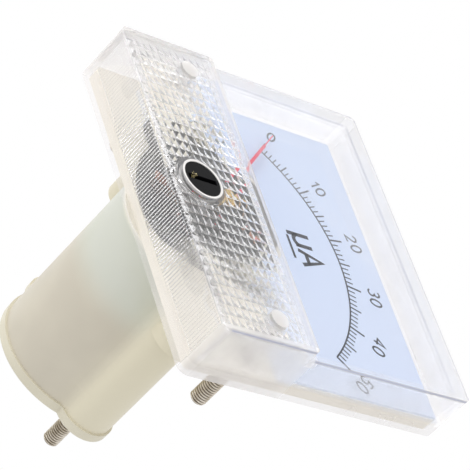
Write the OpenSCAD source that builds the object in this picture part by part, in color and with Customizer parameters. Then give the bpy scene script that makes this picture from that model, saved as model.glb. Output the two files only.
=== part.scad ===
// Moving-coil panel meter: a clear moulded front over a dial, a lobed barrel
// behind the panel, and a core-magnet movement with a zero adjuster inside.
// X runs to the right of the dial, Y to the rear, Z up. The origin lies on the
// pivot axis, in the plane where the flange meets the panel.

/* [Front cover] */
// Width of the front
panel_w = 65; // [60:0.5:80]
// Height of the front
panel_h = 56; // [51:0.5:60]
// Depth of the cover from the panel to the window's outer face
window_depth = 9.8; // [9.8:0.1:12]
// How far the textured band stands out in front of the window
band_proud = 1.8; // [1.4:0.1:3]
// Height of the textured band
band_h = 20.5; // [20:0.5:24]
// Wall of the clear moulding
cover_wall = 1.3; // [1:0.1:1.6]
// Radius of the cover's four corners
corner_r = 2; // [1.6:0.1:3.5]
// Radius of the cover's front edges
edge_r = 0.6; // [0.3:0.05:1]
// Width of one pyramid of the texture
pyramid_w = 2.05; // [1.6:0.05:3]
// Height of one pyramid on the band's face
pyramid_h = 1.47; // [1.2:0.01:3]
// How far the pyramids rise from the inside of the band
pyramid_rise = 0.42; // [0.2:0.02:0.5]
// Plain margin round the textured field
texture_margin = 0.1; // [0.1:0.1:2]
// Width of one rib inside the cover's bottom wall
rib_w = 0.68; // [0.5:0.02:1.2]
// Height of those ribs
rib_rise = 0.2; // [0.1:0.02:0.3]

/* [Base] */
// Height of the pivot axis above the front's lower edge
axis_height = 13.5; // [13:0.1:14.5]
// Thickness of the base's flange
flange_t = 2.6; // [2.2:0.1:2.8]
// Radius of the barrel
barrel_r = 13.1; // [12.9:0.1:13.4]
// Wall of the barrel
barrel_wall = 1.6; // [1.3:0.1:1.8]
// Length of the barrel behind the panel
barrel_l = 34; // [32:0.5:50]
// Radius of the two side lobes
lobe_r = 5; // [4.6:0.1:5.6]
// Distance of each lobe's centre from the axis
lobe_x = 11.8; // [11.4:0.1:12.6]
// Radius of the hollow where a lobe meets the barrel
lobe_fillet = 2.5; // [1:0.1:5]
// Radius of the screw bosses beside the barrel's root
boss_r = 4.8; // [4.2:0.1:5]
// Length of those bosses behind the panel
boss_l = 10.4; // [9:0.1:14]
// Thickness of the rear cap
cap_t = 2; // [1.6:0.1:3]
// How far the cap stands out round the barrel
cap_lip = 0.4; // [0.2:0.05:0.8]
// Gap between the base and what it fits into
case_fit = 0.1; // [0.05:0.01:0.2]

/* [Studs and terminals] */
// Radius of the mounting studs
stud_r = 1.5; // [1.25:0.05:1.5]
// Distance of a mounting stud from the front's side edge
stud_inset = 5.5; // [5:0.1:6.5]
// Length of a mounting stud behind the panel
stud_l = 10; // [6:0.5:20]
// Radius of the cover's pegs in front of the studs
peg_r = 1.75; // [1.7:0.05:2]
// Radius of the terminal studs
terminal_r = 1.5; // [1.25:0.05:1.5]
// Distance between the terminals
terminal_pitch = 21.4; // [20:0.2:22]
// Length of a terminal outside the cap
terminal_l = 8.6; // [6:0.2:14]

/* [Dial] */
// Thickness of the dial plate
dial_t = 0.5; // [0.3:0.05:0.6]
// Distance from the front's upper edge down to the scale's arc
scale_margin = 11.2; // [10.5:0.1:14]
// Angle from zero to full scale
sweep = 94; // [80:1:100]
// Number of scale divisions
divisions = 50; // [20:10:100]

/* [Movement] */
// Outer radius of the iron ring
yoke_r = 10.4; // [10.2:0.05:10.8]
// Inner radius of the iron ring
yoke_bore_r = 8.4; // [8.3:0.05:8.6]
// Length of the iron ring
yoke_l = 11.8; // [11:0.1:14]
// Radius of the core magnet
core_r = 5.7; // [5:0.1:5.8]
// Air gap between the core and the coil's former
coil_gap = 0.55; // [0.4:0.05:0.6]
// Thickness of the coil's former
former_t = 0.3; // [0.2:0.05:0.35]
// Thickness of the copper winding
winding_t = 1; // [0.8:0.05:1.1]
// Width of the coil
coil_w = 2.4; // [2:0.1:2.8]
// Radius of the pivot shafts
arbor_r = 0.4; // [0.3:0.05:0.5]
// Thickness of the bridges
bridge_t = 1.1; // [1:0.05:1.2]
// Turns of each hairspring
spring_turns = 4; // [3:1:5]

/* [Pointer] */
// How far the pointer's needle reaches past the arc
needle_l = 4.5; // [2:0.1:4.9]
// Width of the pointer's blade
pointer_w = 0.6; // [0.5:0.05:0.9]
// Width of its needle
needle_w = 0.24; // [0.2:0.02:0.4]
// Thickness of the pointer's blade
pointer_t = 0.3; // [0.2:0.05:0.4]

/* [Zero adjuster] */
// Radius of the zero screw's head
zero_r = 3.6; // [3.2:0.1:3.8]
// Distance of the zero screw below the pivot axis
zero_drop = 6.5; // [6.4:0.1:7]
// Offset of its eccentric pin
zero_throw = 0.9; // [0.6:0.05:1]
// Running gap of a shaft in its bore
running_fit = 0.05; // [0.03:0.01:0.08]

/* [Hidden] */
$fn = 72;
eps = 0.01;

// Levels along Y
band_front = -(window_depth + band_proud);
band_inner = band_front + cover_wall;
flange_front = -flange_t;
dial_front = flange_front - dial_t;
plate_t = 1;
plate_front = flange_front - plate_t;
cap_rear = barrel_l + cap_t;
stud_front = flange_front + 0.6;
stud_bevel = 0.4;
collar_r = stud_r + 0.4;
terminal_collar_r = terminal_r + 0.4;
shank_r = terminal_r - 0.2;
shank_l = 6;

// Places across the front
panel_bottom = -axis_height;
panel_top = panel_bottom + panel_h;
panel_rise = (panel_bottom + panel_top) / 2;
band_top = panel_bottom + band_h;
half_w = panel_w / 2;
inner_edge_r = 0.2;
root = 0.2;
inner_half_w = half_w - cover_wall;
stud_x = half_w - stud_inset;
terminal_x = terminal_pitch / 2;
barrel_bore_r = barrel_r - barrel_wall;
lobe_bore_r = lobe_r - barrel_wall;
head_room = 0.45;

// Screws that hold the movement and the dial
boss_x = lobe_x + 2.8;
nut_flats = 5.5;
nut_t = 2.4;
screw_r = 1.2;
screw_hole_r = screw_r + 0.1;
screw_reach = boss_l - 2;
ear_r = 3;
foot_t = 1;
foot_r = ear_r - 0.5;
scale_r = panel_top - scale_margin;
pointer_r = scale_r + needle_l;
dial_screw_r = 0.8;
dial_screw_l = 2;
dial_tab_r = 2.2;
dial_screw_x = boss_x + ear_r + 1;
dial_gap = 0.3;
dial_bottom = band_top - 2;
dial_screw_z = dial_bottom - 0.4;
dial_opening_r = barrel_bore_r + 1.8;
ink_t = 0.05;
arc_w = 0.28;
thread_l = 3;
head_r = 1.1;
head_t = 0.6;

// Movement, along the pivot axis
magnet_inset = 0.8;
yoke_rear = flange_front + yoke_l;
core_front = flange_front + magnet_inset;
bracket_t = 0.8;
bracket_w = 5;
bracket_rear = yoke_rear + bracket_t;
coil_end_gap = 0.5;
window_front = core_front - coil_end_gap;
window_rear = bracket_rear + coil_end_gap;
former_half = core_r + coil_gap;
coil_half = former_half + former_t + winding_t;
coil_front = window_front - former_t - winding_t;
coil_rear = window_rear + former_t + winding_t;
pad_t = 0.3;
blade_gap = 1.05;
pointer_rear = min(dial_front - blade_gap, coil_front - pad_t - head_room);
pointer_front = pointer_rear - pointer_t;
tail_l = 6;
arm_l = 4.5;
arm_w = 0.6;
spring_t = 0.5;
spring_r = 3.3;
spring_wire = 0.12;
tag_t = 0.4;
collet_r = 0.8;
tip_gap = 0.25;
front_spring_rear = pointer_front - head_room;
front_tip = front_spring_rear - spring_t - tip_gap;
front_bridge_rear = front_tip - head_room;
front_bridge_front = front_bridge_rear - bridge_t;
rear_spring_front = coil_rear + pad_t + tag_t;
rear_tip = rear_spring_front + spring_t + tip_gap;
rear_bridge_front = rear_tip + head_room;
rear_bridge_rear = rear_bridge_front + bridge_t;
bridge_w = 3.6;
leg_in = yoke_bore_r + pad_t;
leg_out = yoke_r - case_fit;
jewel_screw_r = 1.25;
jewel_head_r = 1.9;
jewel_head_t = 0.55;
jewel_slot = 0.5;
cup_r = 0.7;
cup_depth = 0.5;
bridge_screw_r = 0.6;
bridge_screw_x = (leg_in + leg_out) / 2;

// Zero adjuster
lever_t = 0.35;
lever_gap = 0.2;
lever_rear = front_bridge_front - lever_gap;
lever_front = lever_rear - lever_t;
jewel_head_rear = lever_front - running_fit;
pin_r = 0.5;
pin_gap = 0.07;
pin_end = lever_rear + case_fit;
neck_r = 2;
lip_r = neck_r + 0.35;
lip_t = 0.4;
neck_l = 1.15;
screw_boss_wall = 1.1;
zero_recess = 0.1;
zero_head_t = 1.4;
zero_boss_r = zero_r + screw_boss_wall;
zero_front = band_front + zero_recess;
zero_seat = zero_front + zero_head_t;
neck_rear = zero_seat + neck_l;
lip_rear = neck_rear + running_fit + lip_t;
slot_w = 1;
slot_l = 5.9;
slot_deep = 0.8;
fork_pin = zero_drop - zero_throw;

// A flat shape in the XZ plane, extruded from the level y0 back to y1
module along_y(y0, y1) {
    translate([0, y1, 0]) rotate([90, 0, 0]) linear_extrude(y1 - y0) children();
}

// A round bar along Y
module rod(r, y0, y1) {
    translate([0, y1, 0]) rotate([90, 0, 0]) cylinder(r = r, h = y1 - y0);
}

// A round bar along Y whose rear end is bevelled
module bevelled_rod(r, y0, y1) {
    rod(r, y0, y1 - stud_bevel);
    translate([0, y1 - stud_bevel, 0]) rotate([-90, 0, 0])
        cylinder(r1 = r, r2 = r - stud_bevel, h = stud_bevel);
}

// A hexagon along Y, measured across its flats
module hex_bar(flats, y0, y1) {
    translate([0, y1, 0]) rotate([90, 0, 0]) cylinder(d = flats / cos(30), h = y1 - y0, $fn = 6);
}

// Places a shape on the right and its mirror image on the left
module left_and_right(x) {
    translate([x, 0, 0]) children();
    mirror([1, 0, 0]) translate([x, 0, 0]) children();
}

// A rectangle with round corners
module round_rect(w, h, r) {
    square([w - 2 * r, h], center = true);
    square([w, h - 2 * r], center = true);
    for (x = [-1, 1], y = [-1, 1]) translate([x * (w / 2 - r), y * (h / 2 - r)]) circle(r);
}

// A rectangle from 0 to deep whose two far corners are round
module nose(w, deep, r) {
    translate([-w / 2, 0]) square([w, deep - r]);
    translate([-w / 2 + r, 0]) square([w - 2 * r, deep]);
    for (x = [-1, 1]) translate([x * (w / 2 - r), deep - r]) circle(r);
}

// A block in front of the panel with round corners and round front edges
module soft_block(w, h, deep, corner, edge) {
    intersection() {
        along_y(-deep, 0) round_rect(w, h, corner);
        rotate([180, -90, 0]) linear_extrude(w + 1, center = true) nose(h, deep, edge);
        rotate([180, 0, 0]) linear_extrude(h + 1, center = true) nose(w, deep, edge);
    }
}

// A saw-tooth outline: a strip under a row of equal ridges
module ridge_row(length, pitch, rise, strip) {
    count = max(1, floor(length / pitch));
    start = -count * pitch / 2;
    ridges = [for (i = [0 : count - 1]) each [
        [start + i * pitch, 0],
        [start + (i + 0.5) * pitch, rise]
    ]];
    polygon(concat([[start, -strip]], ridges, [[-start, 0], [-start, -strip]]));
}

// The pyramids of the band: two sets of ridges crossed
module pyramid_field(w, h) {
    intersection() {
        rotate([180, 0, 0]) mirror([0, 1, 0])
            linear_extrude(h, center = true) ridge_row(w, pyramid_w, pyramid_rise, root);
        rotate([0, -90, 0])
            linear_extrude(w, center = true) ridge_row(h, pyramid_h, pyramid_rise, root);
    }
}

// The barrel's outline: a circle with a lobe on each side, joined by hollows
module lobed(r, side_r, side_x, hollow) {
    seam = 0.02;
    reach = r + hollow;
    side_reach = side_r + hollow;
    hollow_x = (reach * reach - side_reach * side_reach + side_x * side_x) / (2 * side_x);
    hollow_z = sqrt(reach * reach - hollow_x * hollow_x);
    circle(r);
    for (x = [-1, 1]) translate([x * side_x, 0]) circle(side_r);
    for (x = [-1, 1], z = [-1, 1]) difference() {
        polygon([[0, 0], [x * side_x, 0], [x * hollow_x, z * hollow_z]]);
        translate([x * hollow_x, z * hollow_z]) circle(hollow + seam);
    }
}

// A disc along Y whose rear edge is round
module soft_disc(r, y0, y1, edge) {
    translate([0, y0, 0]) rotate([-90, 0, 0]) rotate_extrude() {
        square([r - edge, y1 - y0]);
        square([r, y1 - y0 - edge]);
        translate([r - edge, y1 - y0 - edge]) circle(edge, $fn = 32);
    }
}

// A round-headed screw along Y with its head towards the front
module screw(r, head_r, head_t, y_seat, y_end) {
    difference() {
        union() {
            rod(r, y_seat - eps, y_end);
            rod(head_r, y_seat - head_t, y_seat);
        }
        translate([0, y_seat - head_t, 0]) cube([2 * head_r + 1, head_t, head_r / 3], center = true);
    }
}

// A flat spiral strip from r0 out to r1
module spiral(r0, r1, turns, wide) {
    step = 15;
    steps = turns * 360 / step;
    growth = (r1 - r0) / steps;
    outer = [for (i = [0 : steps]) (r0 + wide + i * growth) * [cos(i * step), sin(i * step)]];
    inner = [for (i = [steps : -1 : 0]) (r0 + i * growth) * [cos(i * step), sin(i * step)]];
    polygon(concat(outer, inner));
}

module front_cover() {
    color([0.9, 0.92, 0.95, 0.35]) difference() {
        union() {
            difference() {
                cover_blocks(0, panel_w, panel_h, corner_r, edge_r);
                translate([0, eps, 0])
                    cover_blocks(cover_wall, panel_w - 2 * cover_wall, panel_h - 2 * cover_wall,
                        corner_r - cover_wall, inner_edge_r);
            }
            band_texture();
            bottom_ribs();
            left_and_right(stud_x) rod(peg_r, band_inner - root, flange_front);
            translate([0, 0, -zero_drop]) rod(zero_boss_r, band_inner - root, neck_rear);
        }
        translate([0, 0, -zero_drop]) {
            rod(zero_r + running_fit, band_front - 1, zero_seat);
            rod(neck_r + running_fit, band_front - 1, neck_rear + 1);
        }
    }
}

// The cover's window block and band block, shrunk by a wall for the inside
module cover_blocks(wall, w, h, corner, edge) {
    translate([0, 0, panel_rise]) soft_block(w, h, window_depth - wall, corner, edge);
    translate([0, 0, panel_bottom + band_h / 2])
        soft_block(w, band_h - 2 * wall, window_depth + band_proud - wall, corner, edge);
}

// Pyramids over the inside of the band, left out round the pegs and the screw
module band_texture() {
    field_w = 2 * (inner_half_w - texture_margin);
    field_h = band_h - 2 * (cover_wall + texture_margin);
    ring_gap = 0.4;
    difference() {
        translate([0, band_inner, panel_bottom + band_h / 2]) pyramid_field(field_w, field_h);
        left_and_right(stud_x) rod(peg_r + ring_gap, band_front, 0);
        translate([0, 0, -zero_drop]) rod(zero_boss_r + ring_gap, band_front, 0);
    }
}

// Fine ribs along the depth, inside the bottom wall in front of the flange
module bottom_ribs() {
    translate([0, 0, panel_bottom + cover_wall])
        along_y(band_inner, flange_front - case_fit)
            ridge_row(2 * (inner_half_w - texture_margin), rib_w, rib_rise, root);
}

module base() {
    flange_w = panel_w - 2 * (cover_wall + case_fit);
    flange_h = panel_h - 2 * (cover_wall + case_fit);
    color([0.86, 0.84, 0.76]) difference() {
        union() {
            translate([0, 0, panel_rise])
                along_y(flange_front, 0) round_rect(flange_w, flange_h, corner_r - cover_wall);
            along_y(0, barrel_l) lobed(barrel_r, lobe_r, lobe_x, lobe_fillet);
            left_and_right(boss_x) rod(boss_r, 0, boss_l);
        }
        rod(barrel_bore_r, flange_front - 1, barrel_l + 1);
        left_and_right(lobe_x) rod(lobe_bore_r, boss_l, barrel_l + 1);
        left_and_right(boss_x) rod(screw_r, flange_front - 1, screw_reach);
        left_and_right(stud_x) rod(collar_r, stud_front, 1);
        left_and_right(dial_screw_x) translate([0, 0, dial_screw_z])
            rod(dial_screw_r, flange_front - 1, flange_front + dial_screw_l);
    }
}

module rear_cap() {
    edge = 0.5;
    spigot_l = 1.6;
    spigot_t = 1.1;
    nut_room = 3.6;
    color([0.84, 0.82, 0.74]) difference() {
        union() {
            soft_disc(barrel_r + cap_lip, barrel_l, cap_rear, edge);
            left_and_right(lobe_x) soft_disc(lobe_r + cap_lip, barrel_l, cap_rear, edge);
            along_y(barrel_l - spigot_l, barrel_l + eps) difference() {
                circle(barrel_bore_r - case_fit);
                circle(barrel_bore_r - case_fit - spigot_t);
                for (x = [-1, 1]) translate([x * terminal_x, 0]) circle(nut_room);
            }
        }
        left_and_right(terminal_x) rod(terminal_collar_r, barrel_l - 2, cap_rear + 1);
    }
}

module dial_plate() {
    top = panel_top - cover_wall - dial_gap;
    side = inner_half_w - dial_gap;
    color([0.87, 0.91, 0.98]) along_y(dial_front, flange_front) difference() {
        union() {
            translate([-side, dial_bottom]) square([2 * side, top - dial_bottom]);
            for (x = [-1, 1]) translate([x * dial_screw_x, dial_screw_z]) circle(dial_tab_r);
        }
        circle(dial_opening_r);
        for (x = [-1, 1]) translate([x * dial_screw_x, dial_screw_z]) circle(dial_screw_r);
    }
}

// The printed scale: an arc with a mark for each division
module dial_scale() {
    color([0.2, 0.22, 0.26]) along_y(dial_front - ink_t, dial_front) {
        intersection() {
            difference() {
                circle(scale_r + arc_w / 2);
                circle(scale_r - arc_w / 2);
            }
            polygon([[0, 0], for (i = [-1 : 0.5 : 1])
                2 * scale_r * [sin(i * sweep / 2), cos(i * sweep / 2)]]);
        }
        for (i = [0 : divisions]) scale_mark(i);
    }
}

// Mark number i: long at every tenth, middling at every fifth
module scale_mark(i) {
    length = i % 10 == 0 ? 3.2 : i % 5 == 0 ? 2.4 : 1.6;
    wide = i % 10 == 0 ? 0.32 : i % 5 == 0 ? 0.26 : 0.2;
    rotate(sweep / 2 - i * sweep / divisions) translate([-wide / 2, scale_r]) square([wide, length]);
}

module dial_screws() {
    head_r = 1.5;
    head_t = 0.8;
    color([0.75, 0.72, 0.62]) left_and_right(dial_screw_x) translate([0, 0, dial_screw_z])
        screw(dial_screw_r, head_r, head_t, dial_front, flange_front + dial_screw_l);
}

// Each stud has a moulded-in collar that ends flush with the flange
module mounting_studs() {
    color([0.66, 0.63, 0.56]) left_and_right(stud_x) {
        rod(collar_r, stud_front, 0);
        bevelled_rod(stud_r, -eps, stud_l);
    }
}

// Each terminal has a shank for the nut, a collar in the cap and the thread outside
module terminal_studs() {
    color([0.66, 0.63, 0.56]) left_and_right(terminal_x) {
        rod(shank_r, barrel_l - shank_l, barrel_l + eps);
        rod(terminal_collar_r, barrel_l, cap_rear);
        bevelled_rod(terminal_r, cap_rear - eps, cap_rear + terminal_l);
    }
}

module terminal_nuts() {
    color([0.72, 0.68, 0.58]) left_and_right(terminal_x) difference() {
        hex_bar(nut_flats, barrel_l - nut_t, barrel_l);
        rod(shank_r, barrel_l - 3, barrel_l + 1);
    }
}

module solder_tags() {
    tag_l = 6;
    tag_w = 2;
    tag_rear = barrel_l - nut_t;
    color([0.8, 0.76, 0.6]) left_and_right(terminal_x)
        along_y(tag_rear - tag_t, tag_rear) difference() {
            union() {
                circle(nut_flats / 2);
                translate([-tag_l, -tag_w / 2]) square([tag_l, tag_w]);
            }
            circle(shank_r);
            translate([1 - tag_l, 0]) circle(tag_w / 4);
        }
}

module movement_plate() {
    color([0.16, 0.16, 0.17]) along_y(plate_front, flange_front) difference() {
        union() {
            circle(barrel_bore_r + 0.3);
            for (x = [-1, 1]) translate([x * boss_x, 0]) circle(ear_r);
            square([2 * boss_x, 2 * ear_r], center = true);
        }
        circle(yoke_bore_r);
        for (x = [-1, 1]) translate([x * boss_x, 0]) circle(screw_hole_r);
    }
}

module movement_screws() {
    screw_head_r = 2.3;
    screw_head_t = 1.4;
    color([0.74, 0.71, 0.6]) left_and_right(boss_x)
        screw(screw_r, screw_head_r, screw_head_t, plate_front - foot_t, screw_reach);
}

module yoke_ring() {
    color([0.3, 0.27, 0.25]) difference() {
        rod(yoke_r, flange_front, yoke_rear);
        rod(yoke_bore_r, flange_front - 1, yoke_rear + 1);
        left_and_right(bridge_screw_x) rod(bridge_screw_r, yoke_rear - thread_l, yoke_rear + 1);
        for (z = [-1, 1]) translate([0, 0, z * bridge_screw_x])
            rod(bridge_screw_r, yoke_rear - thread_l, yoke_rear + 1);
    }
}

module core_magnet() {
    color([0.35, 0.35, 0.37]) rod(core_r, core_front, yoke_rear);
}

module core_bracket() {
    color([0.78, 0.66, 0.36]) along_y(yoke_rear, bracket_rear) difference() {
        union() {
            intersection() {
                square([bracket_w, 3 * yoke_r], center = true);
                circle(yoke_r);
            }
            circle(core_r - 0.6);
        }
        for (z = [-1, 1]) translate([0, z * bridge_screw_x]) circle(bridge_screw_r);
    }
}

module bracket_screws() {
    color([0.74, 0.71, 0.6]) for (z = [-1, 1]) translate([0, 0, z * bridge_screw_x])
        rotate([0, 0, 180]) screw(bridge_screw_r, head_r, head_t, -bracket_rear, thread_l - yoke_rear);
}

// A bridge bar with a leg at each end, seen from above
module bridge_bar(y0, y1, leg_y0, leg_y1) {
    along_y(y0, y1) square([2 * leg_out, bridge_w], center = true);
    left_and_right((leg_in + leg_out) / 2)
        along_y(leg_y0, leg_y1) square([leg_out - leg_in, bridge_w], center = true);
}

module front_bridge() {
    foot_front = plate_front - foot_t;
    color([0.2, 0.2, 0.21]) difference() {
        union() {
            bridge_bar(front_bridge_front, front_bridge_rear, front_bridge_rear - eps, plate_front);
            along_y(foot_front, plate_front) difference() {
                union() {
                    square([2 * boss_x, 2 * foot_r], center = true);
                    for (x = [-1, 1]) translate([x * boss_x, 0]) circle(foot_r);
                }
                square([2 * leg_in, 2 * ear_r], center = true);
            }
        }
        rod(jewel_screw_r, front_bridge_front - 1, front_bridge_rear + 1);
        left_and_right(boss_x) rod(screw_hole_r, foot_front - 1, plate_front + 1);
    }
}

module rear_bridge() {
    color([0.2, 0.2, 0.21]) difference() {
        bridge_bar(rear_bridge_front, rear_bridge_rear, yoke_rear, rear_bridge_front + eps);
        rod(jewel_screw_r, rear_bridge_front - 1, rear_bridge_rear + 1);
        left_and_right(bridge_screw_x) rod(bridge_screw_r, yoke_rear - 1, rear_bridge_rear + 1);
    }
}

module bridge_screws() {
    color([0.74, 0.71, 0.6]) left_and_right(bridge_screw_x)
        rotate([0, 0, 180])
            screw(bridge_screw_r, head_r, head_t, -rear_bridge_rear, thread_l - yoke_rear);
}

// A screw with a jewelled cup in its end, its head towards the front
module jewel_screw(y_head, y_seat, y_end) {
    difference() {
        union() {
            rod(jewel_head_r, y_head, y_seat);
            rod(jewel_screw_r, y_seat - eps, y_end);
        }
        translate([0, y_head, 0]) cube([2 * jewel_head_r + 1, jewel_slot, jewel_slot], center = true);
        translate([0, y_end + eps, 0]) rotate([90, 0, 0]) cylinder(r1 = cup_r, r2 = 0, h = cup_depth);
    }
}

module front_jewel_screw() {
    color([0.8, 0.68, 0.38])
        jewel_screw(jewel_head_rear - jewel_head_t, jewel_head_rear, front_tip + cup_depth / 2);
}

module rear_jewel_screw() {
    color([0.8, 0.68, 0.38]) rotate([0, 0, 180])
        jewel_screw(-rear_bridge_rear - jewel_head_t, -rear_bridge_rear, -rear_tip + cup_depth / 2);
}

module rear_spring_tag() {
    eye_r = 1.8;
    arm = 1;
    color([0.8, 0.7, 0.4]) {
        along_y(rear_spring_front, rear_bridge_front) translate([-arm / 2, spring_r])
            square([arm, tag_t]);
        along_y(rear_bridge_front - tag_t, rear_bridge_front) difference() {
            union() {
                circle(eye_r);
                translate([-arm / 2, 0]) square([arm, spring_r + tag_t]);
            }
            circle(jewel_screw_r);
        }
    }
}

// A hairspring from the collet out to its anchor
module hairspring(y0) {
    along_y(y0, y0 + spring_t) rotate(90)
        spiral(collet_r + running_fit, spring_r - spring_wire, spring_turns, spring_wire);
}

module rear_hairspring() {
    color([0.85, 0.68, 0.3]) hairspring(rear_spring_front);
}

module front_hairspring() {
    color([0.85, 0.68, 0.3]) hairspring(front_spring_rear - spring_t);
}

// Lever on the front jewel screw: a fork for the zero screw's pin below and
// a tail above that reaches back to the outer end of the front hairspring
module zero_lever() {
    eye_r = 2.2;
    fork_w = 2.4;
    fork_gap = 2 * (pin_r + pin_gap);
    fork_end = fork_pin + fork_w / 2;
    tail_w = 1.2;
    color([0.8, 0.7, 0.4]) {
        along_y(lever_front, lever_rear) difference() {
            union() {
                circle(eye_r);
                translate([-fork_w / 2, -fork_end]) square([fork_w, fork_end]);
                translate([-tail_w / 2, 0]) square([tail_w, spring_r + tag_t]);
            }
            circle(jewel_screw_r + running_fit);
            translate([-fork_gap / 2, -fork_end - 1]) square([fork_gap, fork_w + 1]);
        }
        along_y(lever_rear - eps, front_spring_rear) translate([-tail_w / 2, spring_r])
            square([tail_w, tag_t]);
    }
}

module zero_screw() {
    color([0.08, 0.08, 0.09]) translate([0, 0, -zero_drop]) difference() {
        union() {
            rod(zero_r, zero_front, zero_seat);
            rod(neck_r, zero_seat - eps, neck_rear + running_fit + eps);
            rod(lip_r, neck_rear + running_fit, lip_rear);
            translate([0, 0, zero_throw]) rod(pin_r, lip_rear - eps, pin_end);
        }
        translate([0, zero_front, 0]) cube([slot_w, 2 * slot_deep, slot_l], center = true);
    }
}

// The moving parts turn together; zero lies half the sweep left of upright
module at_zero() {
    rotate([0, -sweep / 2, 0]) children();
}

// The coil's section seen from above, from the pivot axis outwards
module coil_ring(half, y0, y1, thick, wide) {
    translate([0, 0, -wide / 2]) linear_extrude(wide) difference() {
        translate([-half, y0]) square([2 * half, y1 - y0]);
        translate([-half + thick, y0 + thick]) square([2 * (half - thick), y1 - y0 - 2 * thick]);
    }
}

module coil_former() {
    front = window_front - former_t;
    rear = window_rear + former_t;
    color([0.8, 0.8, 0.82]) at_zero() coil_ring(former_half + former_t, front, rear, former_t, coil_w);
}

module coil_winding() {
    winding_w = coil_w - 0.2;
    color([0.72, 0.4, 0.2]) at_zero() coil_ring(coil_half, coil_front, coil_rear, winding_t, winding_w);
}

module pivots() {
    pad = [3, coil_w - 0.4];
    color([0.7, 0.7, 0.72]) at_zero() {
        pivot(-front_tip, -coil_front);
        mirror([0, 1, 0]) pivot(rear_tip, coil_rear);
        rod(collet_r, front_spring_rear - spring_t, front_spring_rear);
        rod(collet_r, rear_spring_front, rear_spring_front + spring_t);
        along_y(coil_front - pad_t, coil_front) square(pad, center = true);
        along_y(coil_rear, coil_rear + pad_t) square(pad, center = true);
    }
}

// A shaft from the coil to a pointed tip, both given as distances to the front
module pivot(tip, foot) {
    point_l = 0.4;
    point_r = 0.05;
    rod(arbor_r, point_l - tip, -foot);
    translate([0, -tip, 0]) rotate([-90, 0, 0]) cylinder(r1 = point_r, r2 = arbor_r, h = point_l);
}

// The pointer: a blade up to the scale, a fine needle, a hub, a tail and two arms
module pointer() {
    hub_r = 1.5;
    taper = 0.5;
    color([0.86, 0.24, 0.28]) at_zero() along_y(pointer_front, pointer_rear) difference() {
        union() {
            circle(hub_r);
            polygon([
                [-pointer_w / 2, 0], [pointer_w / 2, 0],
                [pointer_w / 2, scale_r - taper], [needle_w / 2, scale_r],
                [needle_w / 2, pointer_r], [-needle_w / 2, pointer_r],
                [-needle_w / 2, scale_r], [-pointer_w / 2, scale_r - taper]
            ]);
            translate([-arm_w / 2, -tail_l]) square([arm_w, tail_l]);
            square([2 * arm_l, arm_w], center = true);
        }
        circle(arbor_r);
    }
}

// Weights clamped round the tail and the side arms
module balance_weights() {
    color([0.75, 0.72, 0.66]) at_zero() {
        translate([0, 0, 1 - tail_l]) balance_weight([1.8, 2], [arm_w, 3]);
        left_and_right(arm_l - 0.7) balance_weight([1, 1.4], [2, arm_w]);
    }
}

// One weight, with the slot that takes the arm
module balance_weight(block, arm) {
    difference() {
        along_y(pointer_front - 0.4, pointer_rear + 0.3) square(block, center = true);
        along_y(pointer_front, pointer_rear) square(arm, center = true);
    }
}

front_cover();
base();
rear_cap();
dial_plate();
dial_scale();
dial_screws();
mounting_studs();
terminal_studs();
terminal_nuts();
solder_tags();
movement_plate();
movement_screws();
yoke_ring();
core_magnet();
core_bracket();
bracket_screws();
front_bridge();
rear_bridge();
bridge_screws();
front_jewel_screw();
rear_jewel_screw();
rear_spring_tag();
rear_hairspring();
front_hairspring();
zero_lever();
zero_screw();
coil_former();
coil_winding();
pivots();
pointer();
balance_weights();
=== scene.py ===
# %% [markdown]
# # A moving-coil panel meter
#
# This lesson dresses a finished model of a small panel meter. The solids come
# from the frame and stay where they are. What is made here are the finishes of
# all the pieces, and the fine shapes that a solid model leaves out: the threads
# of the studs and the figures on the dial.

import math

import bpy
import numpy as np
from mathutils import Matrix, Vector


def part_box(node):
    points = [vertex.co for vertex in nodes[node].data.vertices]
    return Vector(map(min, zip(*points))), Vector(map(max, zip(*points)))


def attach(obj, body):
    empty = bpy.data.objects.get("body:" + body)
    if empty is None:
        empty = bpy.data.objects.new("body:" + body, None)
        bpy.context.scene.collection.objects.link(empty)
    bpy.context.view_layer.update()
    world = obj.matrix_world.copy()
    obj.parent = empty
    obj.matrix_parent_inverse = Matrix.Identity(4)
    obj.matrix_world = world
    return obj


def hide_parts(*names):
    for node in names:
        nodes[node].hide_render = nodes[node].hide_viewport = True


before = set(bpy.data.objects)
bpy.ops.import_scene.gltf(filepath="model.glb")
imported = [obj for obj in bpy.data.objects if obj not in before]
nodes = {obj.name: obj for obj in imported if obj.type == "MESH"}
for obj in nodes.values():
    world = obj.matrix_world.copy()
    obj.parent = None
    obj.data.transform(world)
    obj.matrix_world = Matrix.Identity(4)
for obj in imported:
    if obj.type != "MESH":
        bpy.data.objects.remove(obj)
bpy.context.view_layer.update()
MM = 0.001


# %% [markdown]
# ## Where the camera stands
#
# The meter is seen from its lower right, well below the panel's level, and the
# camera is rolled until the top of the dial points to the right. Two angles
# give the direction, a third gives the roll, and the long lens keeps the
# perspective mild.

# %% Camera
EYE = Vector((236.96, -202.14, -240.98)) * MM
AZIMUTH = math.radians(50.27)
ELEVATION = math.radians(-38.93)
ROLL = math.radians(107.28)
LENS = 184.05
SHIFT = (-0.0226, -0.0230)


def camera_axes(azimuth, elevation, roll):
    """The camera's right, up and backward directions as the columns of a matrix.
    Backward is the unit vector at that azimuth and elevation. Right and up are the
    level pair at right angles to it, turned by the roll in their own plane."""
    back = Vector((
        math.sin(azimuth) * math.cos(elevation),
        -math.cos(azimuth) * math.cos(elevation),
        math.sin(elevation),
    ))
    level_right = Vector((math.cos(azimuth), math.sin(azimuth), 0))
    level_up = back.cross(level_right)
    right = math.cos(roll) * level_right + math.sin(roll) * level_up
    return Matrix((right, back.cross(right), back)).transposed()


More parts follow.
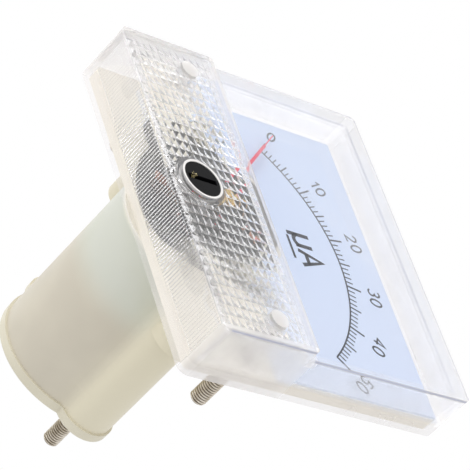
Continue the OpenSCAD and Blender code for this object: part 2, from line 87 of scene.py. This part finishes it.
camera_data = bpy.data.cameras.new("camera")
camera_data.lens = LENS
camera_data.sensor_width = 36
camera_data.shift_x, camera_data.shift_y = SHIFT
camera_data.clip_start, camera_data.clip_end = 0.01, 20
camera = bpy.data.objects.new("camera", camera_data)
camera.matrix_world = Matrix.Translation(EYE) @ camera_axes(AZIMUTH, ELEVATION, ROLL).to_4x4()
bpy.context.scene.collection.objects.link(camera)
bpy.context.scene.camera = camera
toward_camera, image_up, image_right = (camera.matrix_world.to_3x3().col[i] for i in (2, 1, 0))
print("camera at", tuple(round(c, 3) for c in EYE))


# %% [markdown]
# ## Meshes from arrays
#
# Each new piece is a surface whose points are worked out as one numpy array: a
# grid of rows and columns, with the faces between neighbouring points. Each row
# is closed, so its last column joins its first.

# %% Mesh helpers
def add_mesh(name, points, faces, smooth=True):
    """A mesh object from an array of points in millimetres and a list of faces."""
    mesh = bpy.data.meshes.new(name)
    mesh.from_pydata((points * MM).tolist(), [], faces)
    mesh.polygons.foreach_set("use_smooth", np.full(len(mesh.polygons), smooth))
    mesh.validate()
    piece = bpy.data.objects.new(name, mesh)
    bpy.context.scene.collection.objects.link(piece)
    return piece


def grid_faces(rows, columns):
    """Quads between neighbouring points of a grid of closed rows, stored row by row."""
    row = np.arange(rows - 1)[:, None] * columns
    column = np.arange(columns)[None, :]
    step = (column + 1) % columns
    return np.stack([row + column, row + step, row + columns + step, row + columns + column],
                    axis=-1).reshape(-1, 4)


def joined(parts):
    """Several (points, faces) pairs as one pair."""
    points, faces, start = [], [], 0
    for part_points, part_faces in parts:
        points.append(part_points)
        faces.extend([[start + i for i in face] for face in part_faces])
        start += len(part_points)
    return np.concatenate(points), faces


# %% [markdown]
# ## Node trees as Python expressions
#
# A wire stands for one socket of a node tree, and arithmetic on wires adds the
# Math nodes, so a mask can be written as 1 - mask. Any other node comes from
# one method, which takes its type, its settings and its sockets.

# %% Wires
class Wire:
    """One socket of a node tree. Arithmetic on wires adds Math nodes behind it."""

    def __init__(self, graph, socket):
        self.graph = graph
        self.socket = socket

    def maths(self, operation, *values):
        return self.graph.node("ShaderNodeMath", {"operation": operation}, dict(enumerate(values)))

    def __add__(self, other):
        return self.maths("ADD", self, other)

    def __sub__(self, other):
        return self.maths("SUBTRACT", self, other)

    def __rsub__(self, other):
        return self.maths("SUBTRACT", other, self)

    def __mul__(self, other):
        return self.maths("MULTIPLY", self, other)

    def __abs__(self):
        return self.maths("ABSOLUTE", self)

    __radd__ = __add__
    __rmul__ = __mul__

    def larger(self, other):
        return self.maths("MAXIMUM", self, other)

    def smaller(self, other):
        return self.maths("MINIMUM", self, other)

    def step(self, low, high):
        """Rises smoothly from 0 at low to 1 at high."""
        return self.graph.node(
            "ShaderNodeMapRange",
            {"interpolation_type": "SMOOTHSTEP"},
            {"Value": self, "From Min": low, "From Max": high},
        )


def near(distance, full, none):
    """1 up to the first distance and 0 from the second on."""
    return 1 - distance.step(full, none)


# %% Node trees
class Graph:
    """A node tree that nodes are added to."""

    def __init__(self, tree):
        self.tree = tree

    def plug(self, socket, value):
        """Sets one socket to a value, or links it to a wire."""
        if isinstance(value, Wire):
            self.tree.links.new(value.socket, socket)
        elif hasattr(value, "__len__"):
            socket.default_value = value[:len(socket.default_value)]
        else:
            socket.default_value = value

    def node(self, kind, settings=None, sockets=None, out=0):
        """A node of any kind: its settings first, then its sockets, and the wire that leaves it."""
        new = self.tree.nodes.new(kind)
        for setting, value in (settings or {}).items():
            setattr(new, setting, value)
        for socket, value in (sockets or {}).items():
            self.plug(new.inputs[socket], value)
        return Wire(self, new.outputs[out])

    def seen(self):
        """1 for the rays that look at something: camera, glossy and transmission rays."""
        camera_ray, glossy_ray, clear_ray = (
            self.node("ShaderNodeLightPath", out=ray)
            for ray in ("Is Camera Ray", "Is Glossy Ray", "Is Transmission Ray"))
        return camera_ray.larger(glossy_ray).larger(clear_ray)


# %% [markdown]
# ## Finishes
#
# A finish starts as one Principled shader. Its constants go straight onto the
# shader's sockets. Colours are written as they should appear on the screen and
# are turned into light values once.

# %% The finish helper
def screen(red, green, blue):
    """A colour of 0 to 255 a channel, as seen on the screen, in light values."""
    value = np.array([red, green, blue]) / 255
    light = np.where(value <= 0.04045, value / 12.92, ((value + 0.055) / 1.055) ** 2.4)
    return (*light.tolist(), 1.0)


class Finish(Graph):
    """A material with one Principled shader."""

    def __init__(self, name, **constants):
        self.material = bpy.data.materials.new(name)
        self.material.use_nodes = True
        super().__init__(self.material.node_tree)
        self.shader = self.tree.nodes["Principled BSDF"]
        self.body = Wire(self, self.shader.outputs[0])
        for socket, value in constants.items():
            self.put(socket.replace("_", " "), value)

    def put(self, socket, value):
        """Sets or links one socket of the shader."""
        self.plug(self.shader.inputs[socket], value)

    def place(self, axis=None):
        """The point on the piece in millimetres, or one of its coordinates."""
        spot = self.node("ShaderNodeTexCoord", out="Object")
        spot = self.node("ShaderNodeVectorMath", {"operation": "SCALE"}, {0: spot, "Scale": 1 / MM})
        if axis is None:
            return spot
        return self.node("ShaderNodeSeparateXYZ", None, {0: spot}, out=axis)

    def noise(self, size, detail=3):
        """Cloudy noise of 0 to 1 with spots of about that size in millimetres."""
        spot = self.node("ShaderNodeVectorMath", {"operation": "MULTIPLY"},
                         {0: self.place(), 1: (1 / size,) * 3})
        return self.node("ShaderNodeTexNoise", None, {"Vector": spot, "Scale": 1, "Detail": detail})

    def blend(self, mask, first, second):
        """The first colour where the mask is 0 and the second where it is 1."""
        return self.node("ShaderNodeMix", {"data_type": "RGBA"},
                         {"Factor": mask, 6: first, 7: second}, out=2)

    def mixed(self, factor, first, second):
        """The first shader where the factor is 0 and the second where it is 1."""
        return self.node("ShaderNodeMixShader", None, {0: factor, 1: first, 2: second})

    def surface(self, shader):
        """Makes a shader the material's surface."""
        self.plug(self.tree.nodes["Material Output"].inputs["Surface"], shader)

    def relief(self, height, depth):
        """Bump of that depth in millimetres from a height of 0 to 1."""
        self.put("Normal", self.node("ShaderNodeBump", None, {
            "Height": height, "Distance": depth * MM, "Strength": 1}))


def dress(finish, *names, slot=None):
    """Gives a finish to nodes of the frame or to new pieces. The slot argument is not used."""
    for name in names:
        piece = nodes[name] if isinstance(name, str) else name
        piece.data.materials.clear()
        piece.data.materials.append(finish.material)
        print(finish.material.name, "on", piece.name)


# %% [markdown]
# ## Light and backdrop
#
# A clear case shows mostly what is around it, so the room is a plain white one.
# The world gives an even light from all sides. Camera, glossy and transmitted
# rays see it pure white, so the clear plastic takes its brightness from the
# backdrop and not from stronger lamps. Two soft lamps give the form.

# %% White world
WORLD_LEVEL = 0.86


def white_backdrop(world_level):
    """An even world that is white wherever it is seen and gives diffuse light at the level."""
    world = bpy.data.worlds.new("studio")
    world.use_nodes = True
    graph = Graph(world.node_tree)
    background = world.node_tree.nodes["Background"]
    level = graph.node("ShaderNodeMapRange", None,
                       {"Value": graph.seen(), "To Min": world_level, "To Max": 1})
    graph.plug(background.inputs["Color"], (1, 1, 1, 1))
    graph.plug(background.inputs["Strength"], level)
    bpy.context.scene.world = world


white_backdrop(WORLD_LEVEL)
print("world light:", WORLD_LEVEL)


# %% Soft lamps
def soft_lamp(name, direction, distance, size, watts):
    """A square lamp at a distance in a direction from the meter, turned to face it."""
    data = bpy.data.lights.new(name, "AREA")
    data.size = size
    data.energy = watts
    lamp = bpy.data.objects.new(name, data)
    direction = Vector(direction).normalized()
    lamp.location = direction * distance
    lamp.rotation_mode = "QUATERNION"
    lamp.rotation_quaternion = direction.to_track_quat("Z", "Y")
    bpy.context.scene.collection.objects.link(lamp)
    print(name, "gives", watts, "W from", distance, "m")


soft_lamp("key_lamp", image_up + 0.5 * toward_camera - 0.3 * image_right, 0.9, 0.6, 3.2)
soft_lamp("back_lamp", -toward_camera + 0.6 * image_up, 1.0, 0.8, 2.0)
bpy.context.scene.view_settings.view_transform = "Standard"


# %% [markdown]
# ## The clear cover
#
# The cover is one clear polystyrene moulding. A transmissive shader bends light
# at each face, so the pyramids and ribs break up what lies behind them. In the
# round edges of such a shell the light is trapped and comes out black, while
# real edges are pale. So three shaders are mixed: the bending body, a thin pane
# that lets light straight through, and a haze of matt white. The haze is painted
# light, a white that stands in for the light the real plastic gives out at its
# edges and walls, with painted shade in violet grey lines along the round edges
# and a grey ring round the screw. Masks worked out from the distance to the
# cover's outer faces say where each one shows.

# %% Places on the cover
cover_low, cover_high = (Vector(corner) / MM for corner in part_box("front_cover"))
BAND_H = 20.5
BAND_PROUD = 1.8
SCREW_DROP = 6.5
STUD_X = 27
PEG_R = 1.75
band_top = cover_low.z + BAND_H
print("the band ends", round(band_top, 2), "mm above the pivot axis")


# %% Zones of the cover
class CoverZones:
    """Masks on the cover, 1 inside a zone and falling off smoothly at its border. They come
    from the distances to the outer faces in millimetres."""

    def __init__(self, finish):
        across, self.height = abs(finish.place("X")), finish.place("Z")
        self.finish, self.across = finish, across
        self.depth = finish.place("Y") - cover_low.y
        self.side = cover_high.x - across
        self.top = cover_high.z - self.height
        self.bottom = self.height - cover_low.z
        self.window = (self.height - band_top).step(-0.05, 0.05)
        self.band = 1 - self.window
        self.walls = near(self.side, 1.2, 1.5).larger(near(self.top, 1.2, 1.5))
        self.floor_wall = near(self.bottom, 1.5, 1.9)
        self.ledge = near(abs(self.height - band_top + 0.3), 0.7, 1.1) * near(self.depth, 3.2, 3.6)
        self.ends = across.step(11, 22)
        self.rear_rim = self.depth.step(8.7, 9.1)

    def edges(self, full, none):
        """Strips along the round edges, where two outer faces are near."""
        front = self.depth - BAND_PROUD * self.window
        side, top, bottom, front = (
            near(distance, full, none) for distance in (self.side, self.top, self.bottom, front))
        return (front * side.larger(top).larger(bottom)).larger(side * top.larger(bottom))

    def reach(self, centre_x, centre_z):
        """The distance from a centre on the band, or from its mirror image."""
        away, up = self.across - centre_x, self.height - centre_z
        return self.finish.node("ShaderNodeMath", {"operation": "SQRT"}, {0: away * away + up * up})

    def disc(self, centre_x, centre_z, radius):
        return near(self.reach(centre_x, centre_z), radius - 0.1, radius + 0.1) * self.band

    def ring(self, centre_x, centre_z, inner, outer):
        hole = self.reach(centre_x, centre_z).step(inner - 0.1, inner + 0.1)
        return hole * self.disc(centre_x, centre_z, outer)


# %% Thin pane and milky haze
def thin_pane(finish):
    """Lets light straight through, with a little gloss that grows towards grazing views."""
    pane = finish.node("ShaderNodeBsdfTransparent", None, {"Color": screen(253, 253, 254)})
    gloss = finish.node("ShaderNodeBsdfGlossy", None, {"Color": (1, 1, 1, 1), "Roughness": 0.04})
    grazing = finish.node("ShaderNodeLayerWeight", None, {"Blend": 0.12}, out="Fresnel")
    return finish.mixed(grazing * 0.3, pane, gloss)


def painted_haze(finish, lines, screw_shade_ring):
    """Painted light in matt white, with painted shade: violet grey in the edge lines and grey round
    the screw.
    """
    white, violet, grey = (
        finish.node("ShaderNodeBsdfDiffuse", None, {"Color": screen(*colour)})
        for colour in ((253, 250, 248), (184, 186, 202), (150, 150, 152)))
    return finish.mixed(screw_shade_ring, finish.mixed(lines, white, violet), grey)


# %% Clear plastic
def clear_plastic():
    """The three shaders of the cover. For shadow rays it is all thin pane, and the lamps
    reach the dial."""
    finish = Finish("clear_plastic", Base_Color=screen(252, 252, 253), IOR=1.49,
                    Transmission_Weight=1.0)
    zones = CoverZones(finish)
    # painted shade: violet grey lines along the round edges, where the real edges show dark lines
    # of refraction
    lines = zones.edges(0.2, 0.46) * (1 - 0.75 * zones.floor_wall)
    collar = zones.ring(0, -SCREW_DROP, 3.5, 4.05)
    screw_shade_ring = zones.ring(0, -SCREW_DROP, 4.05, 4.7)
    peg = zones.disc(STUD_X, 0, PEG_R)
    smears = finish.noise(4).step(0.55, 0.8)
    finish.put("Roughness", 0.02 + 0.05 * smears + 0.2 * zones.walls)
    finish.relief(finish.noise(9, detail=2), 0.01)

    shadow = finish.node("ShaderNodeLightPath", out="Is Shadow Ray")
    pane = zones.window * (1 - 0.25 * zones.walls)
    for share in (0.3 * zones.walls, zones.edges(0.45, 0.9), shadow, zones.ledge, zones.rear_rim,
                  0.22 * zones.ends, zones.floor_wall * (0.1 + 0.7 * zones.ends)):
        pane = pane.larger(share)

    cloud = finish.noise(6, detail=3).step(0.3, 0.75)
    # painted light: matt white on the walls and the band, standing in for the light the clear
    # plastic lets out
    painted_light_share = 0.15 * zones.walls * (0.75 + 0.5 * cloud)
    painted_light_share += zones.band * (0.03 + 0.12 * zones.walls + (0.06 + 0.08 * zones.floor_wall) * zones.ends)
    painted_light_share += 0.8 * lines + 0.28 * zones.ledge + 0.08 * zones.rear_rim
    # painted light: white on the screw's collar and over the pegs; painted shade: grey in the ring
    # round the screw
    painted_light_share += 0.9 * collar + 0.35 * screw_shade_ring + 0.5 * peg
    painted_light_share = painted_light_share.smaller(0.95) * (1 - 0.8 * shadow)
    clear = finish.mixed(pane, finish.body, thin_pane(finish))
    finish.surface(finish.mixed(painted_light_share, clear, painted_haze(finish, lines, screw_shade_ring)))
    return finish


dress(clear_plastic(), "front_cover")


# %% [markdown]
# ## The cream base and cap
#
# The base is moulded in natural, uncoloured plastic that lets some light
# through. The iron of the movement shades the front half of the barrel from
# inside, and that shade is painted into its colour as a greenish grey; the
# hollow rear half is a warmer beige. The flange is painted nearly white, lighter
# than the same plastic behind it: painted light for the light that falls on it.

# %% Moulded plastic
def clouded(finish, size, first, second):
    """Two close shades in soft clouds of that size."""
    return finish.blend(finish.noise(size, detail=2).step(0.3, 0.7), first, second)


def moulded(finish, rough):
    """The uneven gloss and the faint grain of a moulded face."""
    finish.put("Roughness", rough + 0.12 * finish.noise(3))
    finish.relief(finish.noise(0.5), 0.01)


# %% Cream plastic
FLANGE_FADE = (-0.4, 1.2)
IRON_SHADE_FADE = (10, 17)
LOBE_FADE = (10.5, 14.5)


def cream_plastic():
    """Painted light makes the flange nearly white. Painted shade of the iron inside makes the
    barrel greenish grey over the iron and beige behind it, with creamier lobes at the sides."""
    finish = Finish("cream_plastic", IOR=1.46)
    # painted shade: greenish grey where the movement's iron shades the barrel from inside
    painted_iron_shade = clouded(finish, 11, screen(208, 210, 196), screen(212, 214, 203))
    hollow = clouded(finish, 11, screen(205, 198, 182), screen(212, 205, 188))
    wavy_depth = finish.place("Y") + 1.5 * finish.noise(14, detail=1)
    barrel = finish.blend(wavy_depth.step(*IRON_SHADE_FADE), painted_iron_shade, hollow)
    lobes = abs(finish.place("X")).step(*LOBE_FADE)
    moulding = finish.blend(lobes, barrel, screen(226, 219, 196))
    # painted light: the flange is nearly white, lighter than the moulding behind it, for the light
    # falling there
    behind_flange = finish.place("Y").step(*FLANGE_FADE)
    finish.put("Base Color", finish.blend(behind_flange, screen(252, 246, 230), moulding))
    moulded(finish, 0.34)
    return finish


def cap_plastic():
    finish = Finish("cap_plastic", IOR=1.46)
    finish.put("Base Color", clouded(finish, 9, screen(216, 210, 190), screen(224, 218, 198)))
    moulded(finish, 0.36)
    return finish


dress(cream_plastic(), "base")
dress(cap_plastic(), "rear_cap")


# %% [markdown]
# ## Dial, ink and pointer
#
# The dial is sheet metal sprayed matt white with a cool cast. The print is a
# thin dark ink that is not quite even, and the pointer is sprayed signal red.

# %% Paints
def dial_paint():
    finish = Finish("dial_paint", IOR=1.4)
    # painted light: the dial is darker towards -X and lighter towards +X, where more light falls
    painted_light_slope = finish.place("X").step(-34, 30)
    cloud = finish.noise(16, detail=2)
    base = finish.blend(painted_light_slope, screen(210, 226, 252), screen(222, 234, 255))
    finish.put("Base Color", finish.blend(0.25 * cloud, base, screen(232, 240, 254)))
    finish.put("Roughness", 0.55 + 0.1 * finish.noise(1))
    finish.relief(finish.noise(0.25), 0.006)
    return finish


def dial_ink():
    finish = Finish("dial_ink")
    patchy = finish.noise(0.6, detail=4)
    finish.put("Base Color",
               finish.blend(patchy.step(0.45, 0.75), screen(26, 30, 40), screen(56, 62, 76)))
    finish.put("Roughness", 0.6 + 0.1 * patchy)
    return finish


def pointer_paint():
    finish = Finish("pointer_paint")
    finish.put("Base Color",
               finish.blend(finish.noise(1.5), screen(232, 30, 74), screen(244, 62, 96)))
    finish.put("Roughness", 0.42 + 0.1 * finish.noise(0.6))
    return finish


ink = dial_ink()
dress(dial_paint(), "dial_plate")
dress(ink, "dial_scale")
dress(pointer_paint(), "pointer")


# %% [markdown]
# ## Metals
#
# Plated, turned and stamped metal differ in colour, in how rough they are, and
# in the size of the fine lines that the tool left. One function makes them all
# from two colours, a roughness and the size of the grain.

# %% Metal finishes
def metal(name, light, dark, rough, grain=0.4):
    finish = Finish(name, Metallic=1.0)
    lines = finish.noise(grain, detail=4)
    stains = finish.noise(3).step(0.45, 0.75)
    finish.put("Base Color", finish.blend(stains, light, dark))
    finish.put("Roughness", rough + 0.2 * stains + 0.12 * lines)
    finish.relief(lines, 0.012)
    return finish


nickel = metal("nickel", screen(196, 188, 172), screen(150, 138, 118), 0.24, grain=0.3)
brass = metal("brass", screen(214, 184, 112), screen(178, 146, 84), 0.28)
bronze = metal("bronze", screen(206, 164, 96), screen(168, 124, 70), 0.3)
aluminium = metal("aluminium", screen(206, 206, 210), screen(176, 176, 180), 0.38)
steel = metal("steel_screw", screen(200, 196, 184), screen(160, 152, 136), 0.26, grain=0.3)
iron = metal("dark_iron", screen(110, 100, 92), screen(74, 66, 60), 0.42)
magnet = metal("magnet", screen(120, 120, 124), screen(84, 84, 88), 0.4)
dress(nickel, "terminal_nuts")
dress(brass, "front_jewel_screw", "rear_jewel_screw", "core_bracket")
dress(bronze, "rear_hairspring", "front_hairspring", "rear_spring_tag", "zero_lever")
dress(aluminium, "coil_former", "balance_weights", "pivots")
dress(steel, "movement_screws", "bracket_screws", "bridge_screws", "dial_screws")
dress(iron, "yoke_ring")
dress(magnet, "core_magnet")


# %% Blackened plates, solder and copper wire
WIRE_PITCH = 0.18


def blackened():
    finish = Finish("blackened")
    finish.put("Base Color", finish.blend(finish.noise(2), screen(30, 30, 32), screen(46, 45, 46)))
    finish.put("Roughness", 0.5 + 0.15 * finish.noise(0.7))
    return finish


def tinned():
    return metal("solder", screen(214, 212, 204), screen(170, 166, 156), 0.3, grain=1.2)


def enamelled_wire():
    """Copper turns round the coil: rounded ridges along the winding, a wire's width apart, with
    painted shade darker between the turns and lighter on their crests.
    """
    finish = Finish("copper", Metallic=0.9)
    turn = finish.place("Z") * (2 * math.pi / WIRE_PITCH)
    ridge = 0.5 + 0.5 * finish.node("ShaderNodeMath", {"operation": "SINE"}, {0: turn})
    # painted shade: the colour is darker between the turns and lighter on their crests
    finish.put("Base Color", finish.blend(ridge, screen(120, 62, 36), screen(196, 118, 74)))
    finish.put("Roughness", 0.3 + 0.1 * finish.noise(1))
    finish.relief(ridge, 0.04)
    return finish


dress(blackened(), "movement_plate", "front_bridge", "rear_bridge")
dress(tinned(), "solder_tags")
dress(enamelled_wire(), "coil_winding")


# %% [markdown]
# ## The zero screw
#
# Black glossy plastic with a blade slot. The end of the slot is chipped where a
# screwdriver slipped, and a little brassy dirt sits there.

# %% Black plastic
CHIP_X = -0.5
CHIP_Z = -SCREW_DROP - 1.5


def black_plastic():
    """Chips are the peaks of a fine noise, close to one point of the screw."""
    finish = Finish("black_plastic", IOR=1.5, Specular_IOR_Level=0.06)
    black = finish.blend(finish.noise(1.5), screen(8, 8, 10), screen(18, 18, 20))
    away, up = finish.place("X") - CHIP_X, finish.place("Z") - CHIP_Z
    around = near(away * away + up * up, 0.2, 1.1)
    chips = (around * finish.noise(0.35, detail=4)).step(0.5, 0.56)
    finish.put("Base Color", finish.blend(chips, black, screen(206, 190, 140)))
    finish.put("Roughness", 0.16 + 0.12 * finish.noise(0.8) + 0.3 * chips)
    finish.relief(finish.noise(2.5), 0.02)
    return finish


dress(black_plastic(), "zero_screw")


# %% [markdown]
# ## Threads
#
# A thread is a tube whose radius falls and rises once for each pitch. The wave
# is shifted along the axis by one pitch a turn, which makes a single helix. The
# ends run into a bevel and a flat disc, and the tube stays inside the plain rod
# that it replaces.

# %% Thread sizes
THREAD_PITCH = 0.5
THREAD_DEPTH = 0.28
THREAD_ROWS = 10
THREAD_COLUMNS = 48
STUD_BEVEL = 0.4
STUD_R = 1.5
COLLAR_R = 1.9
SHANK_R = 1.3
SHANK_L = 6
CAP_T = 2
stud_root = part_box("mounting_studs")[0][1] / MM
cap_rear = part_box("rear_cap")[1][1] / MM
cap_front = cap_rear - CAP_T
print("mounting studs start at", round(stud_root, 2), "mm and the cap ends at", round(cap_rear, 2))


# %% Threaded rod
def threaded_rod(front, rear, centre_x, plain):
    """Points and faces of a threaded rod along Y, and the depth of the groove at each point.
    At the angle a and the distance s the radius is r - depth * wave(s / pitch - a / turn),
    where the wave is a clipped triangle of 0 to 1, and it is never more than the radius of
    the bevel cone at the end. Plain steps, each a level and a radius, come before the thread."""
    rows = int((rear - front) / THREAD_PITCH * THREAD_ROWS)
    along = np.linspace(front, rear, rows)[:, None]
    angle = np.linspace(0, 2 * np.pi, THREAD_COLUMNS, endpoint=False)[None, :]
    phase = (along / THREAD_PITCH - angle / (2 * np.pi)) % 1
    wave = np.clip(1.25 * np.abs(2 * phase - 1) - 0.125, 0, 1)
    ring = np.minimum(STUD_R - THREAD_DEPTH * wave, STUD_R - STUD_BEVEL + rear - along)
    steps = np.array(plain)
    along = np.vstack([steps[:, :1], along])
    ring = np.vstack([np.repeat(steps[:, 1:], THREAD_COLUMNS, axis=1), ring])
    points = np.stack([centre_x + ring * np.cos(angle), along + 0 * angle,
                       ring * np.sin(angle)], axis=-1).reshape(-1, 3)
    rows += len(steps)
    faces = grid_faces(rows, THREAD_COLUMNS)[:, ::-1].tolist()
    last = (rows - 1) * THREAD_COLUMNS
    faces.append(list(range(THREAD_COLUMNS)))
    faces.append([last + i for i in reversed(range(THREAD_COLUMNS))])
    groove = np.vstack([np.zeros((len(steps), THREAD_COLUMNS)), wave]).reshape(-1)
    return points, faces, groove


# %% Thread finish
def thread_finish():
    """Worn nickel plate, darker in the grooves, read from the mesh's own attribute."""
    finish = Finish("thread_nickel", Metallic=1.0)
    groove = finish.node("ShaderNodeAttribute", {"attribute_name": "groove"}, out="Fac")
    wear = finish.noise(1.2).step(0.4, 0.7)
    plate = finish.blend(wear, screen(222, 214, 202), screen(188, 178, 162))
    finish.put("Base Color", finish.blend(groove.step(0.35, 1.0), plate, screen(92, 80, 68)))
    finish.put("Roughness", 0.22 + 0.2 * groove + 0.1 * finish.noise(0.4))
    return finish


thread_nickel = thread_finish()
print("made", thread_nickel.material.name)


# %% Both pairs of threaded studs
def threaded_pair(name, node, front, plain):
    """Both studs of a node as one threaded piece, placed by the node's own box."""
    low, high = (np.array(corner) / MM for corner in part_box(node))
    centre_x = high[0] - (high[2] - low[2]) / 2
    rods = [threaded_rod(front, high[1], side * centre_x, plain) for side in (-1, 1)]
    piece = add_mesh(name, *joined(rod[:2] for rod in rods))
    groove = piece.data.attributes.new("groove", "FLOAT", "POINT")
    groove.data.foreach_set("value", np.concatenate([rod[2] for rod in rods]))
    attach(piece, "case")
    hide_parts(node)
    dress(thread_nickel, piece, slot="nickel")
    print(name, "has", len(piece.data.polygons), "faces")


threaded_pair("mounting_threads", "mounting_studs", 0, [(stud_root, COLLAR_R), (0, COLLAR_R)])
threaded_pair("terminal_threads", "terminal_studs", cap_rear,
              [(cap_front - SHANK_L, SHANK_R), (cap_front, SHANK_R),
               (cap_front, COLLAR_R), (cap_rear, COLLAR_R)])


# %% [markdown]
# ## Figures on the dial
#
# The figures are drawn with a pen of one width, as on a technical drawing. Each
# is a few strokes on a grid one unit high, and a stroke is a thin flat ribbon
# that runs along its line.

# %% Sizes of the print
FIGURES = ("0", "10", "20", "30", "40", "50")
FIGURE_RADIUS = 37.7
FIGURE_HEIGHT = 2.7
FIGURE_PEN = 0.36
FIGURE_GAP = 0.28
UNIT_CENTRE = (-0.4, 24.1)
UNIT_HEIGHT = 5.0
UNIT_PEN = 0.82
UNIT_GAP = 0.24
BAR_CENTRE = (-0.6, 20.2)
BAR_L = 5.2
BAR_PEN = 0.5
INK_T = 0.03
SWEEP = math.radians(94)
dial_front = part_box("dial_plate")[0][1] / MM
print("the dial's front is at", round(dial_front, 2), "mm")


# %% Strokes of the letters
def arc(cx, cz, rx, rz, start, end, steps=18):
    """Points on an ellipse round (cx, cz), from one angle to another in degrees, 0 at the right."""
    angle = np.radians(np.linspace(start, end, steps))
    return np.stack([cx + rx * np.cos(angle), cz + rz * np.sin(angle)], axis=-1)


def line(*corners):
    return np.array(corners, float)


STROKES = {
    "0": [arc(0.3, 0.5, 0.27, 0.46, 90, 450, 30)],
    "1": [line((0.12, 0.74), (0.33, 0.96), (0.33, 0.04))],
    "2": [np.concatenate([arc(0.3, 0.7, 0.24, 0.26, 165, -40),
                          line((0.06, 0.04), (0.56, 0.04))])],
    "3": [np.concatenate([arc(0.28, 0.74, 0.22, 0.22, 150, -70),
                          arc(0.28, 0.29, 0.26, 0.25, 80, -150)])],
    "4": [line((0.44, 0.04), (0.44, 0.96), (0.04, 0.3), (0.6, 0.3))],
    "5": [np.concatenate([line((0.52, 0.96), (0.14, 0.96), (0.1, 0.56)),
                          arc(0.29, 0.33, 0.25, 0.29, 110, -150)])],
    "A": [line((0.0, 0.0), (0.33, 1.0), (0.66, 0.0)), line((0.1, 0.32), (0.56, 0.32))],
    "u": [line((0.0, -0.25), (0.0, 0.75)), line((0.5, 0.75), (0.5, 0.0)),
          arc(0.25, 0.22, 0.25, 0.22, 180, 360)],
}
print("letters:", " ".join(STROKES))


# %% Ribbons
LEAST_COSINE = 0.35
MOST_STRETCH = 1.8


def ribbon(path, width):
    """A flat ribbon along a line of points. Each point is pushed half the width to both sides
    along the bisector of its two directions, and further at a corner, up to a limit."""
    step = np.diff(path, axis=0)
    step /= np.linalg.norm(step, axis=1)[:, None]
    before = np.vstack([step[:1], step])
    after = np.vstack([step, step[-1:]])
    side = before + after
    side = np.stack([-side[:, 1], side[:, 0]], axis=-1)
    side /= np.maximum(np.linalg.norm(side, axis=1), 1e-6)[:, None]
    normal = np.stack([-before[:, 1], before[:, 0]], axis=-1)
    cosine = np.maximum((side * normal).sum(axis=1), LEAST_COSINE)
    side *= (np.minimum(1 / cosine, MOST_STRETCH) * width / 2)[:, None]
    return np.stack([path - side, path + side], axis=1).reshape(-1, 2)


def figure_strokes(text, height, pen, gap):
    """Ribbons of all the strokes of a text, centred on its own width and half height."""
    cursor, ribbons = 0.0, []
    for letter in text:
        strokes = STROKES[letter]
        width = max(stroke[:, 0].max() for stroke in strokes)
        for stroke in strokes:
            ribbons.append(ribbon(stroke * height + np.array([cursor, 0]), pen))
        cursor += width * height + gap * height
    shift = np.array([(cursor - gap * height) / 2, height / 2])
    return [flat - shift for flat in ribbons]


def print_on_dial(ribbons, centre, turn):
    """Turns flat ribbons clockwise, moves them to a centre on the dial, and gives them the
    ink's thickness in front of the plate."""
    parts = []
    cos, sin = math.cos(turn), math.sin(turn)
    for flat in ribbons:
        x = centre[0] + flat[:, 0] * cos + flat[:, 1] * sin
        z = centre[1] - flat[:, 0] * sin + flat[:, 1] * cos
        count = len(flat)
        front = np.stack([x, np.full(count, dial_front - INK_T), z], axis=-1)
        back = front + np.array([0, INK_T, 0])
        rows = np.arange(count // 2 - 1) * 2
        top = np.stack([rows, rows + 1, rows + 3, rows + 2], axis=-1)
        under = top[:, ::-1] + count
        left = np.stack([rows, rows + 2, rows + 2 + count, rows + count], axis=-1)
        right = np.stack([rows + 1, rows + 1 + count, rows + 3 + count, rows + 3], axis=-1)
        ends = np.array([[0, count, count + 1, 1],
                         [count - 2, count - 1, 2 * count - 1, 2 * count - 2]])
        parts.append((np.concatenate([front, back]),
                      np.concatenate([top, under, left, right, ends]).tolist()))
    return parts


# %% Figures and unit
def dial_figures():
    """The numbers round the scale, each upright on its own radius."""
    parts = []
    for index, text in enumerate(FIGURES):
        turn = -SWEEP / 2 + index * SWEEP / (len(FIGURES) - 1)
        centre = (FIGURE_RADIUS * math.sin(turn), FIGURE_RADIUS * math.cos(turn))
        strokes = figure_strokes(text, FIGURE_HEIGHT, FIGURE_PEN, FIGURE_GAP)
        parts += print_on_dial(strokes, centre, turn)
    return parts


def unit_sign():
    """The unit in larger letters, with the bar of direct current under it."""
    letters = figure_strokes("uA", UNIT_HEIGHT, UNIT_PEN, UNIT_GAP)
    bar = ribbon(line((-BAR_L / 2, 0), (BAR_L / 2, 0)), BAR_PEN)
    return print_on_dial(letters, UNIT_CENTRE, 0) + print_on_dial([bar], BAR_CENTRE, 0)


figures = add_mesh("dial_figures", *joined(dial_figures() + unit_sign()), smooth=False)
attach(figures, "case")
dress(ink, figures, slot="dial_ink")
print("figures have", len(figures.data.polygons), "faces")


# %% [markdown]
# ## Floor
#
# A wide pale floor lies below the camera and catches the fall of light without
# coming between the camera and the meter. Wherever it is seen it is white, as
# the world is.

# %% Floor
FLOOR_Z = -0.75
FLOOR_SIDE = 6


def pale_floor():
    finish = Finish("pale_floor", Base_Color=(0.9, 0.9, 0.9, 1), Roughness=0.8)
    white = finish.node("ShaderNodeEmission", None, {"Color": (1, 1, 1, 1), "Strength": 1})
    finish.surface(finish.mixed(finish.seen(), finish.body, white))
    corners = np.array([(-1, -1), (1, -1), (1, 1), (-1, 1)]) * FLOOR_SIDE / MM / 2
    points = np.column_stack([corners, np.full(len(corners), FLOOR_Z / MM)])
    floor = add_mesh("floor", points, [[0, 1, 2, 3]])
    floor.data.materials.append(finish.material)
    print("floor", FLOOR_SIDE, "m wide at", FLOOR_Z, "m")


pale_floor()
